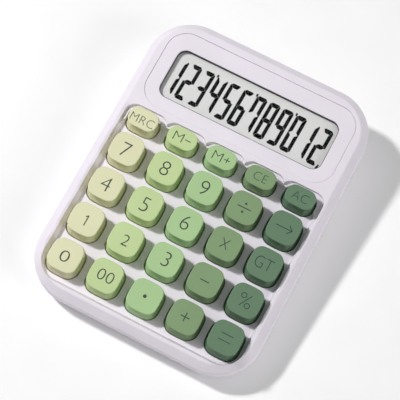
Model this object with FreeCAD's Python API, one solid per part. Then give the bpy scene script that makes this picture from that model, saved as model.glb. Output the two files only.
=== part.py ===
"""Desk calculator with a wedge case, raised pastel keys and a recessed twelve digit display.

Everything on the top is drawn square to the sloping deck: x runs right, y runs back towards the
display, z rises out of the deck, and z = 0 is the deck itself. The finished pieces are then tilted
so that the case stands level on its feet. Lengths are in millimetres and angles in degrees.
"""
import FreeCAD, Part
import math
import os

from FreeCAD import Vector

# Case
case_width = 119.0
case_length = 156.6
case_corner = 23.0
deck_tilt = 5.0
front_room = 0.7           # between the lower half's floor and the board, at the front edge
bevel_width = 4.0
bevel_drop = 3.6
bevel_rounding = 1.2
upper_side = 10.4          # from the deck down to the joint between the two case halves
wall = 2.0
underside = 2.0            # floor of the lower half
lower_inset = 0.4          # step at the joint, lower half set in
lower_draft = 5.0
lower_edge = 2.0           # rounding where the lower half meets its underside
foot_height = 1.5
lip_height = 1.5
lip_thickness = 1.0
slip = 0.15                # gap of two moulded pieces that locate each other

# Key grid
columns = 5
rows = 4
column_gap = 5.9           # between the tops of two neighbours
row_gap = 4.6
slim_row_less = 2.8        # by how much the slim keys stand closer than a full row

# Keys
key_corner = 4.6
key_side_radius = 44.0     # the four sides bow out a little
slim_key_narrower = 0.9    # than a full key
slim_key_shallower = 5.6   # than a full key
slim_key_flat = 1.5        # straight part of a slim key's ends
key_rise = 4.4             # top of a key above the deck
key_flare = 0.75           # the sides go straight down and then sweep out to the well floor
flare_height = 2.5
flare_steps = 3
key_edge = 0.5
key_gap = 0.75             # from the foot of a key to the edge of its hole
key_travel = 2.5
key_roof = 2.0
key_wall = 1.7
flange_reach = 0.5         # beyond the hole
flange_thickness = 1.2
plunger_size = 5.0

# Key well
rim_flat = 1.8             # flat top of the rim between the bevel and the well
well_depth = 4.0
well_slope = 1.4           # how far the walls lean in on the way down
well_corner = 11.0
panel = 1.8                # floor of the well
well_side_gap = 0.25       # from the outer holes to the foot of the wall
well_front_gap = 1.9
arch_lap = 0.2
arch_reach = 8.1           # from the middle of a slim key back to the crown of its arch
arch_corner = 4.8
arch_depth = 28.0

# Display
bezel_margin = 7.8         # case left round the bezel, at the sides and the back
bezel_gap = 1.85           # from the arches to the bezel
bezel_depth = 42.9
bezel_corner = 11.0
bezel_sink = 0.4
bezel_thickness = 2.0
window_side_border = 7.2
window_end_border = 7.75
window_forward = 1.15      # middle of the window in front of the bezel's
window_corner = 5.0
window_edge = 0.4
ledge = 1.8                # shelf of the upper half that the bezel rests on
lens_thickness = 1.0
lcd_side_lap = 3.2         # glass hidden behind the bezel
lcd_end_lap = 4.0
lcd_corner = 1.0
lcd_thickness = 1.8
lcd_frame_border = 5.8     # at the left and right, where the stakes go through
lcd_frame_rail = 2.5       # at the front and back
lcd_frame_floor = 1.4
lcd_frame_opening_border = 5.0
lcd_frame_corner = 8.0
stake_radius = 1.0
stake_spacing = 26.0
stake_tail = 0.8
pocket_side_wall = 5.0     # solid left beside the hollow under the display
pocket_back_wall = 4.3
pocket_corner = 16.0

# Keypad and board
dome_spare = 0.5           # dome left over when its key is fully down
dome_foot_radius = 5.4
dome_top_radius = 3.4
dome_hollow_radius = 4.2
dome_roof = 1.4
sheet_thickness = 0.8
sheet_inset = 0.55         # rubber sheet inside the tops of the outer keys
sheet_tail = 7.2           # rubber sheet behind the middle of the slim keys
board_margin = 0.85        # board beyond the tops of the outer keys
board_tail = 13.0          # board behind the middle of the slim keys
board_thickness = 1.6
board_corner = 8.0
board_boss_radius = 2.5
board_screw_radius = 1.0
board_screw_head_radius = 2.1
board_screw_head = 1.2
pilot_gap = 0.1
chip_radius = 7.0
chip_height = 1.7
ribbon_width = 52.0
ribbon_thickness = 0.3
ribbon_lap = 3.0
ribbon_bend = 1.0
lead_radius = 0.6
lead_bend = 2.0
lead_x = 34.0              # the leads pass outside the ribbon
lead_rise = 2.5            # height at which a lead comes in over the board
lead_inset = 3.0           # from the back edge of the board to a lead's end
rest = 0.2                 # gap of a part at rest above what stops or carries it

# Case screws
screw_radius = 1.3
screw_length = 6.2         # below the head
screw_head_radius = 2.5
screw_head = 1.8
screw_seat = 2.5           # plastic under the head
screw_crown = 0.4          # bevel round the top of a head
boss_radius = 3.2
post_radius = 3.8
front_screw_inset = 5.3
back_screw_aside = 11.0    # back screws beside the door
back_screw_inset = 6.1
rib_thickness = 1.2
rib_width = 84.0

# Battery, its bay and the sliding door
cell_radius = 5.25
cell_length = 43.5
cell_button_radius = 1.9
cell_button = 1.0
cell_edge = 0.5
cell_gap = 0.5
bay_spare = 5.5            # room for the contacts at the ends of the cell
bay_wall = 1.6
bay_from_back = 22.0       # from the deck's back edge to the middle of the cell
contact_thickness = 0.5
contact_width = 9.0
contact_above = 2.2        # plate above the middle of the cell
contact_gap = 0.1
tail_width = 3.0
tail_length = 3.0
leaf_width = 5.0
leaf_flat = 2.5            # height of the leaf's flat that meets the cell
dimple_radius = 1.0
door_lap = 2.0             # door beyond each end of the bay
door_thickness = 2.0
door_front = 10.5          # door in front of the middle of the cell
door_gap = 0.3
rail_reach = 1.2
rail_thickness = 0.8
rail_length = 24.0
grip_count = 4
grip_pitch = 2.2
grip_radius = 0.6
grip_back = 12.0           # from the middle of the cell back to the last grip

# Feet
foot_radius = 4.5
foot_seat = 0.6
foot_side_inset = 15.0
foot_front_inset = 17.0
foot_back_inset = 15.0
foot_edge = 0.4

clearance = 0.3            # between pieces that move, or are put in, past each other
past = 1.0                 # how far a cutting shape runs past the face it cuts

# Levels below the deck
dome_height = key_travel + dome_spare
well_floor = -well_depth
panel_bottom = well_floor - panel
flange_top = panel_bottom - rest
flange_bottom = flange_top - flange_thickness
dome_top = flange_bottom - rest
sheet_top = dome_top - dome_height
sheet_bottom = sheet_top - sheet_thickness
board_bottom = sheet_bottom - board_thickness
bezel_bottom = -bezel_sink - bezel_thickness
ledge_bottom = bezel_bottom - ledge
lens_bottom = bezel_bottom - lens_thickness
lcd_bottom = lens_bottom - lcd_thickness
joint_level = -upper_side
front_height = foot_height + underside + front_room - board_bottom

# Places on the deck: the display keeps to the back of the case and the keys share out the rest
front_edge = -case_length / 2
back_edge = case_length / 2
bezel_width = case_width - 2 * bezel_margin
bezel_y = back_edge - bezel_margin - bezel_depth / 2
arch_crown = back_edge - bezel_margin - bezel_depth - bezel_gap
slim_row_y = arch_crown - arch_reach
foot_to_edge = bevel_width + rim_flat + well_slope + key_gap + key_flare
grid_width = case_width - 2 * (foot_to_edge + well_side_gap)
grid_front = front_edge + foot_to_edge + well_front_gap
column_pitch = (grid_width + column_gap) / columns
row_pitch = (slim_row_y + slim_row_less - grid_front + row_gap / 2) / (rows + 0.5)
column_x = [column_pitch * (column - (columns - 1) / 2) for column in range(columns)]
row_y = [grid_front + (row_pitch - row_gap) / 2 + row_pitch * row for row in range(rows)]

# Sizes that follow from the places
key_size = min(column_pitch - column_gap, row_pitch - row_gap)
slim_key_width = key_size - slim_key_narrower
slim_key_depth = key_size - slim_key_shallower
slim_key_corner = (slim_key_depth - slim_key_flat) / 2
window_y = bezel_y - window_forward
window_width = bezel_width - 2 * window_side_border
window_depth = bezel_depth - 2 * window_end_border
lcd_width = window_width + 2 * lcd_side_lap
lcd_depth = window_depth + 2 * lcd_end_lap
bay_length = cell_length + cell_button + bay_spare
door_width = bay_length + 2 * door_lap
grip_width = door_width / 2
front_screw_spacing = column_x[-1] - column_x[0] - column_pitch
back_screw_spacing = door_width + 2 * back_screw_aside
tilt = math.radians(deck_tilt)
deck_centre_height = front_height + case_length / 2 * math.sin(tilt)


def rectangle(width, depth, radius, z, x=0.0, y=0.0):
    """Closed wire of a rectangle with round corners, seen from above."""
    half_w = width / 2
    half_d = depth / 2
    turn = radius * (1 - math.sqrt(0.5))
    edges = []
    corners = [(1, 1), (-1, 1), (-1, -1), (1, -1)]
    for index, (sx, sy) in enumerate(corners):
        right = Vector(x + sx * half_w, y + sy * (half_d - radius), z)
        middle = Vector(x + sx * (half_w - turn), y + sy * (half_d - turn), z)
        top = Vector(x + sx * (half_w - radius), y + sy * half_d, z)
        begin, end = (right, top) if sx * sy > 0 else (top, right)
        edges.append(Part.Arc(begin, middle, end).toShape())
        nx, ny = corners[(index + 1) % 4]
        if nx != sx:
            follow = Vector(x + nx * (half_w - radius), y + ny * half_d, z)
        else:
            follow = Vector(x + nx * half_w, y + ny * (half_d - radius), z)
        edges.append(Part.LineSegment(end, follow).toShape())
    return Part.Wire(edges)


def bowed_square(size, radius, side_radius, z, x=0.0, y=0.0):
    """Closed wire of a square whose sides bow out and run smoothly into round corners."""
    half = size / 2
    reach = side_radius - half
    inner = side_radius - radius
    centre = (math.sqrt(2 * inner ** 2 - reach ** 2) - reach) / 2
    along = (centre + reach) / inner * side_radius - reach
    across = centre / inner * side_radius
    bulge = centre + radius * math.sqrt(0.5)
    edges = []
    for quarter in range(4):
        turn = math.radians(90 * quarter)
        points = [(along, -across), (half, 0), (along, across), (bulge, bulge), (across, along)]
        spots = []
        for px, py in points:
            spun_x = px * math.cos(turn) - py * math.sin(turn)
            spun_y = px * math.sin(turn) + py * math.cos(turn)
            spots.append(Vector(x + spun_x, y + spun_y, z))
        edges.append(Part.Arc(spots[0], spots[1], spots[2]).toShape())
        edges.append(Part.Arc(spots[2], spots[3], spots[4]).toShape())
    return Part.Wire(edges)


def prism(wire, height):
    return Part.Face(wire).extrude(Vector(0, 0, height))


def loft(wires):
    return Part.makeLoft(wires, True, True)


def block(low, high):
    size = [b - a for a, b in zip(low, high)]
    return Part.makeBox(*size, Vector(*low))


def post(radius, x, y, low, high):
    return Part.makeCylinder(radius, high - low, Vector(x, y, low))


def joined(shapes):
    first, *others = shapes
    return first.fuse(others).removeSplitter() if others else first


def spun(profile, x=0.0, y=0.0, z=0.0):
    """Solid made by turning a profile of (radius, height) points about a line square to the deck."""
    points = [Vector(x + r, y, z + h) for r, h in profile]
    face = Part.Face(Part.makePolygon(points + points[:1]))
    return face.revolve(Vector(x, y, z), Vector(0, 0, 1), 360)


def rounded_run(points, radii):
    """Edges of an open line through points, with an arc of its own radius at each inner point."""
    edges = []
    start = points[0]
    for before, corner, after, radius in zip(points, points[1:], points[2:], radii):
        back = (before - corner).normalize()
        ahead = (after - corner).normalize()
        half_turn = back.getAngle(ahead) / 2
        arc_start = corner + back * (radius / math.tan(half_turn))
        arc_end = corner + ahead * (radius / math.tan(half_turn))
        arc_middle = corner + (back + ahead).normalize() * (radius / math.sin(half_turn) - radius)
        edges.append(Part.LineSegment(start, arc_start).toShape())
        edges.append(Part.Arc(arc_start, arc_middle, arc_end).toShape())
        start = arc_end
    edges.append(Part.LineSegment(start, points[-1]).toShape())
    return edges


def bent_strip(points, bend, thickness, width, placement):
    """Strip of even thickness that follows a bent line. The line is drawn flat, with its bends rounded
    to the radius bend, the placement stands it up, and the strip is as wide as the vector width."""
    line = [Vector(a, b, 0) for a, b in points]
    up = Vector(0, 0, 1)
    runs = [(b - a).normalize() for a, b in zip(line, line[1:])]
    sides = []
    for half in (thickness / 2, -thickness / 2):
        lefts = [up.cross(run) * half for run in runs]
        side = [line[0] + lefts[0]]
        radii = []
        for corner, first, second, run, follow in zip(line[1:], lefts, lefts[1:], runs, runs[1:]):
            side.append(corner + (first + second) * (1 / (1 + run.dot(follow))))
            radii.append(bend - half if run.cross(follow).z > 0 else bend + half)
        side.append(line[-1] + lefts[-1])
        sides.append(rounded_run(side, radii))
    ends = [Part.LineSegment(line[i] + up.cross(runs[i]) * (thickness / 2),
                             line[i] - up.cross(runs[i]) * (thickness / 2)).toShape() for i in (0, -1)]
    face = Part.Face(Part.Wire(Part.__sortEdges__(sides[0] + sides[1] + ends)))
    face.Placement = placement
    return face.extrude(width)


def on_table(shape):
    """Tilt a shape from the deck's frame to where it is when the case stands on a table."""
    placed = shape.copy()
    placed.rotate(Vector(0, 0, 0), Vector(1, 0, 0), deck_tilt)
    placed.translate(Vector(0, 0, deck_centre_height))
    return placed


def case_outline(inset, z):
    return rectangle(case_width - 2 * inset, case_length - 2 * inset, case_corner - inset, z)


def key_outline(slim, grow, z, x=0.0, y=0.0):
    if slim:
        width = slim_key_width + 2 * grow
        depth = slim_key_depth + 2 * grow
        return rectangle(width, depth, slim_key_corner + grow, z, x, y)
    return bowed_square(key_size + 2 * grow, key_corner + grow, key_side_radius + grow, z, x, y)


def keycap(slim):
    """Hollow cap with sides that sweep out, a straight skirt, a flange that stops it and a plunger."""
    parts = [step / flare_steps for step in range(flare_steps + 1)]
    sweep = [key_outline(slim, key_flare * (1 - part) ** 2, well_floor + flare_height * part)
             for part in parts]
    flare = loft(sweep + [key_outline(slim, 0, key_rise - key_edge), key_outline(slim, -key_edge, key_rise)])
    skirt = prism(key_outline(slim, key_flare, flange_bottom), well_floor - flange_bottom)
    flange = prism(key_outline(slim, key_flare + key_gap + flange_reach, flange_bottom), flange_thickness)
    width = (slim_key_width if slim else key_size) - 2 * key_wall
    depth = (slim_key_depth if slim else key_size) - 2 * key_wall
    roof = key_rise - key_roof
    hollow = block((-width / 2, -depth / 2, flange_bottom), (width / 2, depth / 2, roof))
    half = plunger_size / 2
    plunger = block((-half, -half, flange_bottom), (half, half, roof))
    return joined([flare, skirt, flange]).cut(hollow.cut(plunger)).removeSplitter()


def well():
    """The sunken key well: a leaning-walled tray with an arch behind each slim key."""
    half_width = case_width / 2 - bevel_width - rim_flat
    front = front_edge + bevel_width + rim_flat
    back = arch_crown - arch_corner
    lean = well_slope / well_depth
    levels = [(well_floor, -well_slope), (past, past * lean)]
    tray = loft([rectangle(2 * (half_width + grow), back - front + 2 * grow, well_corner + grow, z,
                           0, (front + back) / 2) for z, grow in levels])
    arch_width = column_pitch + 2 * arch_lap
    arch_y = arch_crown - arch_depth / 2
    arches = [loft([rectangle(arch_width + 2 * grow, arch_depth + 2 * grow, arch_corner + grow, z,
                              x, arch_y) for z, grow in levels]) for x in column_x]
    return [tray] + arches


def key_places():
    """Every key as (name, slim, x, y), from the back row to the front row, left to right."""
    slim_names = ["mrc", "m_minus", "m_plus", "ce", "ac"]
    full_names = [["0", "00", "point", "plus", "equals"], ["1", "2", "3", "minus", "percent"],
                  ["4", "5", "6", "times", "gt"], ["7", "8", "9", "divide", "shift"]]
    places = [("key_" + name, True, x, slim_row_y) for name, x in zip(slim_names, column_x)]
    for names, y in zip(reversed(full_names), reversed(row_y)):
        places += [("key_" + name, False, x, y) for name, x in zip(names, column_x)]
    return places


def board_screw_places():
    """Board screws sit where four keys meet, in the outer gaps between columns."""
    outer_gap = column_x[-1] - column_pitch / 2
    between_rows = [y + row_pitch / 2 for y in row_y[:-1]]
    return [(x, y) for x in (-outer_gap, outer_gap) for y in between_rows]


def case_screw_places():
    front = front_edge + front_screw_inset
    back = back_edge - back_screw_inset
    return [(-front_screw_spacing / 2, front), (front_screw_spacing / 2, front),
            (-back_screw_spacing / 2, back), (back_screw_spacing / 2, back)]


def stake_places():
    x = (lcd_width + lcd_frame_border) / 2
    return [(sx * x, window_y + sy * stake_spacing / 2) for sx in (-1, 1) for sy in (-1, 1)]


def upper_case():
    bevel = loft([case_outline(0, -bevel_drop), case_outline(bevel_width, 0)])
    shell = joined([prism(case_outline(0, joint_level), upper_side - bevel_drop), bevel])
    level_edges = [edge for edge in shell.Edges if edge.BoundBox.ZLength < slip]
    rims = [edge for edge in level_edges if edge.BoundBox.ZMin > joint_level + slip]
    shell = shell.makeFillet(bevel_rounding, rims)
    hollow = prism(case_outline(wall, joint_level - past), panel_bottom - joint_level + past)
    pocket_front = arch_crown - well_slope + panel
    pocket_back = back_edge - pocket_back_wall
    pocket = prism(rectangle(case_width - 2 * pocket_side_wall, pocket_back - pocket_front, pocket_corner,
                             panel_bottom - past, 0, (pocket_front + pocket_back) / 2),
                   ledge_bottom - panel_bottom + past)
    frame_side = lcd_width / 2 + lcd_frame_border + slip
    pocket_nose = block((-frame_side, pocket_front, panel_bottom - past),
                        (frame_side, window_y, ledge_bottom))
    bosses = [post(boss_radius, x, y, joint_level, ledge_bottom) for x, y in case_screw_places()]
    bosses += [post(board_boss_radius, x, y, sheet_bottom, panel_bottom) for x, y in board_screw_places()]
    bosses += [post(stake_radius, x, y, lcd_bottom - lcd_frame_floor - stake_tail, ledge_bottom)
               for x, y in stake_places()]
    shell = shell.cut([hollow, pocket, pocket_nose]).fuse(bosses)
    seat = prism(rectangle(bezel_width, bezel_depth, bezel_corner, bezel_bottom, 0, bezel_y),
                 past - bezel_bottom)
    opening = prism(rectangle(lcd_width + 2 * slip, lcd_depth + 2 * slip, lcd_corner, ledge_bottom - past,
                              0, window_y), ledge + 2 * past)
    holes = [prism(key_outline(slim, key_flare + key_gap, panel_bottom - past, x, y),
                   panel + 2 * past) for name, slim, x, y in key_places()]
    pilot_top = joint_level + screw_length - screw_seat + pilot_gap
    pilots = [post(screw_radius + pilot_gap, x, y, joint_level - past, pilot_top)
              for x, y in case_screw_places()]
    pilots += [post(board_screw_radius + pilot_gap, x, y, sheet_bottom - past, panel_bottom - pilot_gap)
               for x, y in board_screw_places()]
    return shell.cut(well() + [seat, opening] + holes + pilots).removeSplitter()


def display_bezel():
    plate = prism(rectangle(bezel_width - 2 * slip, bezel_depth - 2 * slip, bezel_corner - slip,
                            bezel_bottom, 0, bezel_y), bezel_thickness)
    top = -bezel_sink
    opening = loft([rectangle(window_width, window_depth, window_corner, bezel_bottom - past, 0, window_y),
                    rectangle(window_width, window_depth, window_corner, top - window_edge, 0, window_y),
                    rectangle(window_width + 2 * window_edge, window_depth + 2 * window_edge,
                              window_corner + window_edge, top, 0, window_y)])
    return plate.cut(opening)


def display_window():
    return prism(rectangle(lcd_width, lcd_depth, lcd_corner, lens_bottom, 0, window_y), lens_thickness)


def lcd_panel():
    return prism(rectangle(lcd_width, lcd_depth, lcd_corner, lcd_bottom, 0, window_y), lcd_thickness)


def lcd_frame():
    """Tray under the display glass, open in the middle, with a gap at the front for the ribbon."""
    low = lcd_bottom - lcd_frame_floor
    width = lcd_width + 2 * lcd_frame_border
    depth = lcd_depth + 2 * lcd_frame_rail
    tray = prism(rectangle(width, depth, lcd_frame_corner, low, 0, window_y), ledge_bottom - low)
    glass = prism(rectangle(lcd_width + 2 * slip, lcd_depth + 2 * slip, lcd_corner, lcd_bottom,
                            0, window_y), lcd_thickness + past)
    shelf = 2 * lcd_frame_opening_border
    middle = prism(rectangle(lcd_width - shelf, lcd_depth - shelf, lcd_corner, low - past, 0, window_y),
                   lcd_frame_floor + 2 * past)
    half = ribbon_width / 2 + past
    gap = block((-half, window_y - depth / 2 - past, low - past),
                (half, window_y - lcd_depth / 2 + lcd_frame_opening_border, ledge_bottom + past))
    holes = [post(stake_radius + slip, x, y, low - past, ledge_bottom + past) for x, y in stake_places()]
    return tray.cut([glass, middle, gap] + holes)


def lcd_ribbon():
    """Film that joins the display glass to the board: lapped under the glass, down, and onto the board."""
    half = ribbon_thickness / 2
    glass_front = window_y - lcd_depth / 2
    drop_y = glass_front - ribbon_bend
    top = lcd_bottom - half
    bottom = sheet_bottom + half
    line = [(glass_front + ribbon_lap, top), (drop_y, top), (drop_y, bottom),
            (drop_y - ribbon_lap - ribbon_bend, bottom)]
    upright = FreeCAD.Rotation(Vector(0, 1, 0), Vector(0, 0, 1), Vector(1, 0, 0), "XYZ")
    left_end = FreeCAD.Placement(Vector(-ribbon_width / 2, 0, 0), upright)
    return bent_strip(line, ribbon_bend, ribbon_thickness, Vector(ribbon_width, 0, 0), left_end)


def rubber_keypad():
    """One rubber sheet with a hollow dome under every key and holes for the board's bosses."""
    front = grid_front + sheet_inset
    back = slim_row_y + sheet_tail
    width = grid_width - 2 * sheet_inset
    sheet = prism(rectangle(width, back - front, dome_foot_radius, sheet_bottom, 0, (front + back) / 2),
                  sheet_thickness)
    domes = [Part.makeCone(dome_foot_radius, dome_top_radius, dome_height, Vector(x, y, sheet_top))
             for name, slim, x, y in key_places()]
    hollows = [Part.makeCone(dome_hollow_radius, dome_top_radius - dome_roof / 2,
                             dome_height + sheet_thickness - dome_roof, Vector(x, y, sheet_bottom))
               for name, slim, x, y in key_places()]
    holes = [post(board_boss_radius + clearance, x, y, sheet_bottom - past, sheet_top + past)
             for x, y in board_screw_places()]
    return sheet.fuse(domes).cut(hollows + holes)


def board_back():
    return slim_row_y + board_tail


def circuit_board():
    front = grid_front - board_margin
    depth = board_back() - front
    width = grid_width + 2 * board_margin
    board = prism(rectangle(width, depth, board_corner, board_bottom, 0, front + depth / 2), board_thickness)
    holes = [post(board_screw_radius + pilot_gap, x, y, board_bottom - past, sheet_bottom + past)
             for x, y in board_screw_places()]
    return board.cut(holes)


def chip_cover():
    """Blob of resin over the chip, on the underside of the board."""
    sphere_radius = (chip_radius ** 2 + chip_height ** 2) / (2 * chip_height)
    y = row_y[-1] - row_pitch / 2
    ball = Part.makeSphere(sphere_radius, Vector(0, y, board_bottom - chip_height + sphere_radius))
    below = block((-chip_radius, y - chip_radius, board_bottom - chip_height - past),
                  (chip_radius, y + chip_radius, board_bottom))
    return ball.common(below)


def screw(head_radius, head, radius, length, x, y, seat):
    """Screw whose head sits under the level given as seat and whose shank points up."""
    return spun([(0, -head), (head_radius - screw_crown, -head), (head_radius, screw_crown - head),
                 (head_radius, 0), (radius, 0), (radius, length - radius), (0, length)], x, y, seat)


def board_screws():
    length = panel_bottom - board_bottom - 2 * pilot_gap
    return [screw(board_screw_head_radius, board_screw_head, board_screw_radius, length, x, y,
                  board_bottom) for x, y in board_screw_places()]


def case_screws():
    return [screw(screw_head_radius, screw_head, screw_radius, screw_length, x, y,
                  joint_level - screw_seat) for x, y in case_screw_places()]


def below_table(level):
    """Everything lower than a level above the table."""
    reach = case_length
    return block((-reach, -reach, -reach), (reach, reach, level))


def lower_block(inset, level):
    """The lower half's tapering form, filled in, cut off level above the table."""
    depth = front_height + case_length * math.sin(tilt)
    taper = (depth - upper_side) * math.tan(math.radians(lower_draft))
    blank = loft([case_outline(lower_inset + inset + taper, -depth),
                  case_outline(lower_inset + inset, joint_level)])
    return on_table(blank).cut(below_table(level))


def lower_body():
    """Outside of the lower half, with a round edge all along its underside."""
    body = lower_block(0, foot_height)
    edges = [edge for edge in body.Edges if edge.BoundBox.ZMax < foot_height + slip]
    return body.makeFillet(lower_edge, edges)


def bay_y():
    return (back_edge - bay_from_back) * math.cos(tilt)


def cell_z():
    return foot_height + door_thickness + door_gap + cell_gap + cell_radius


def arched_bay(half_width, length, low):
    """Upright walls with a half round roof over them, along the cell."""
    y = bay_y()
    z = cell_z()
    x = -length / 2
    sides = [Vector(x, y - half_width, z), Vector(x, y - half_width, low), Vector(x, y + half_width, low),
             Vector(x, y + half_width, z)]
    edges = [Part.LineSegment(a, b).toShape() for a, b in zip(sides, sides[1:])]
    edges.append(Part.Arc(sides[-1], Vector(x, y, z + half_width), sides[0]).toShape())
    return Part.Face(Part.Wire(edges)).extrude(Vector(length, 0, 0))


def door_slot():
    """The way for the door and its rails, open at the back of the case."""
    half = door_width / 2 + door_gap
    front = bay_y() - door_front - door_gap
    top = foot_height + door_thickness + door_gap
    rail_low = foot_height + (door_thickness - rail_thickness) / 2 - door_gap
    rail_high = rail_low + rail_thickness + 2 * door_gap
    way = block((-half, front, foot_height - past), (half, case_length, top))
    rails = block((-half - rail_reach, front, rail_low), (half + rail_reach, case_length, rail_high))
    return [way, rails]


def battery_door():
    half = door_width / 2
    front = bay_y() - door_front
    blank = block((-half, front, 0), (half, case_length, foot_height + door_thickness))
    rail_low = foot_height + (door_thickness - rail_thickness) / 2
    rails = block((-half - rail_reach, front, rail_low),
                  (half + rail_reach, front + rail_length, rail_low + rail_thickness))
    grip_starts = [Vector(-grip_width / 2, bay_y() + grip_back - index * grip_pitch, foot_height)
                   for index in range(grip_count)]
    grips = [Part.makeCylinder(grip_radius, grip_width, start, Vector(1, 0, 0)) for start in grip_starts]
    return lower_body().common(blank).fuse(rails).cut(grips).removeSplitter()


def foot_places():
    x = case_width / 2 - foot_side_inset
    front = (front_edge + foot_front_inset) * math.cos(tilt)
    back = (back_edge - foot_back_inset) * math.cos(tilt)
    names = ["foot_front_left", "foot_front_right", "foot_back_left", "foot_back_right"]
    spots = [(-x, front), (x, front), (-x, back), (x, back)]
    return list(zip(names, spots))


def rubber_foot(x, y):
    high = foot_height + foot_seat
    return spun([(0, 0), (foot_radius - foot_edge, 0), (foot_radius, foot_edge), (foot_radius, high),
                 (0, high)], x, y)


def lower_case():
    inside = lower_block(wall, foot_height + underside)
    raised = foot_height + door_thickness + door_gap + bay_wall
    half = door_width / 2 + rail_reach + door_gap + bay_wall
    floor_pad = block((-half, bay_y() - door_front - door_gap - bay_wall, 0), (half, case_length, raised))
    bay = arched_bay(cell_radius + cell_gap + bay_wall, bay_length + 2 * bay_wall, foot_height)
    posts = [on_table(post(post_radius, x, y, -case_length, joint_level)) for x, y in case_screw_places()]
    ribs = [on_table(block((-rib_width / 2, y - rib_thickness / 2, -case_length),
                           (rib_width / 2, y + rib_thickness / 2, board_bottom - rest))) for y in row_y]
    solid_inside = inside.cut([floor_pad, bay] + posts + ribs)
    lip = prism(case_outline(wall + slip, joint_level - lip_height), 2 * lip_height)
    lip_inside = prism(case_outline(wall + slip + lip_thickness, joint_level - lip_height - past),
                       2 * (lip_height + past))
    boss_gaps = [post(boss_radius + clearance, x, y, joint_level, joint_level + lip_height + past)
                 for x, y in case_screw_places()]
    lip = lip.cut([lip_inside] + boss_gaps)
    shell = lower_body().cut(solid_inside).fuse(on_table(lip))
    cell_room = arched_bay(cell_radius + cell_gap, bay_length, foot_height - past)
    seats = [on_table(post(screw_head_radius + clearance, x, y, -case_length, joint_level - screw_seat))
             for x, y in case_screw_places()]
    ways = [on_table(post(screw_radius + clearance, x, y, -case_length, joint_level + past))
            for x, y in case_screw_places()]
    foot_seats = [post(foot_radius + slip, x, y, foot_height - past, foot_height + foot_seat)
                  for name, (x, y) in foot_places()]
    slots = [tail_slot(side) for side in (-1, 1)]
    return shell.cut([cell_room] + door_slot() + seats + ways + foot_seats + slots).removeSplitter()


def contact_span(side):
    """Where a contact plate stands along x, against the bay's end wall."""
    outer = side * bay_length / 2
    inner = outer - side * contact_thickness
    return sorted((inner, outer))


def tail_top():
    return cell_z() + cell_radius + cell_gap + bay_wall + tail_length


def tail_slot(side):
    low, high = contact_span(side)
    half = tail_width / 2 + contact_gap
    return block((low - contact_gap, bay_y() - half, cell_z()),
                 (high + contact_gap, bay_y() + half, tail_top()))


def contact_plate(side):
    low, high = contact_span(side)
    y = bay_y()
    z = cell_z()
    half = contact_width / 2
    plate = block((low, y - half, z - half), (high, y + half, z + contact_above))
    tail = block((low, y - tail_width / 2, z), (high, y + tail_width / 2, tail_top()))
    return plate.fuse(tail)


def cell_end():
    """Where the tip of the cell's button is: just short of the dimple on the positive contact."""
    return bay_length / 2 - 2 * contact_thickness - contact_gap


def positive_contact():
    dimple = Part.makeCone(cell_button_radius, dimple_radius, contact_thickness,
                           Vector(contact_span(1)[0], bay_y(), cell_z()), Vector(-1, 0, 0))
    return contact_plate(1).fuse(dimple).removeSplitter()


def negative_contact():
    """Plate with a leaf that bows out and presses on the flat end of the cell."""
    face = contact_span(-1)[1]
    half = contact_thickness / 2
    tip = cell_end() - cell_button - cell_length - contact_gap - half
    z = cell_z()
    foot = z - contact_width / 2 + contact_thickness
    head = z + contact_above - half
    line = [(face - half, foot), (tip, z - leaf_flat / 2), (tip, z + leaf_flat / 2), (face - half, head)]
    upright = FreeCAD.Rotation(Vector(1, 0, 0), Vector(0, 0, 1), Vector(0, -1, 0), "XYZ")
    front_side = FreeCAD.Placement(Vector(0, bay_y() - leaf_width / 2, 0), upright)
    leaf = bent_strip(line, contact_thickness, contact_thickness, Vector(0, leaf_width, 0), front_side)
    return contact_plate(-1).fuse(leaf).removeSplitter()


def battery():
    side = [(cell_radius - cell_edge, 0), (cell_radius, cell_edge), (cell_radius, cell_length - cell_edge),
            (cell_radius - cell_edge, cell_length)]
    tip = cell_length + cell_button
    cell = spun([(0, 0)] + side + [(cell_button_radius, cell_length), (cell_button_radius, tip), (0, tip)])
    cell.rotate(Vector(0, 0, 0), Vector(0, 1, 0), 90)
    cell.translate(Vector(cell_end() - cell_button - cell_length, bay_y(), cell_z()))
    return cell


def battery_lead(side):
    """Wire from a contact's tail, round the end of the ribbon, down to the top of the board."""
    tilted = FreeCAD.Rotation(Vector(1, 0, 0), deck_tilt)
    deck = FreeCAD.Placement(Vector(0, 0, deck_centre_height), tilted)
    end_y = board_back() - lead_inset
    height = tail_top() - lead_radius
    line = [Vector(side * bay_length / 2, bay_y(), height), Vector(side * lead_x, bay_y(), height),
            deck.multVec(Vector(side * lead_x, end_y, sheet_bottom + lead_rise)),
            deck.multVec(Vector(side * lead_x, end_y, sheet_bottom))]
    run = Part.Wire(rounded_run(line, [lead_bend] * 2))
    section = Part.Wire(Part.makeCircle(lead_radius, line[0], Vector(side, 0, 0)))
    return run.makePipeShell([section], True, False)


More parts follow.
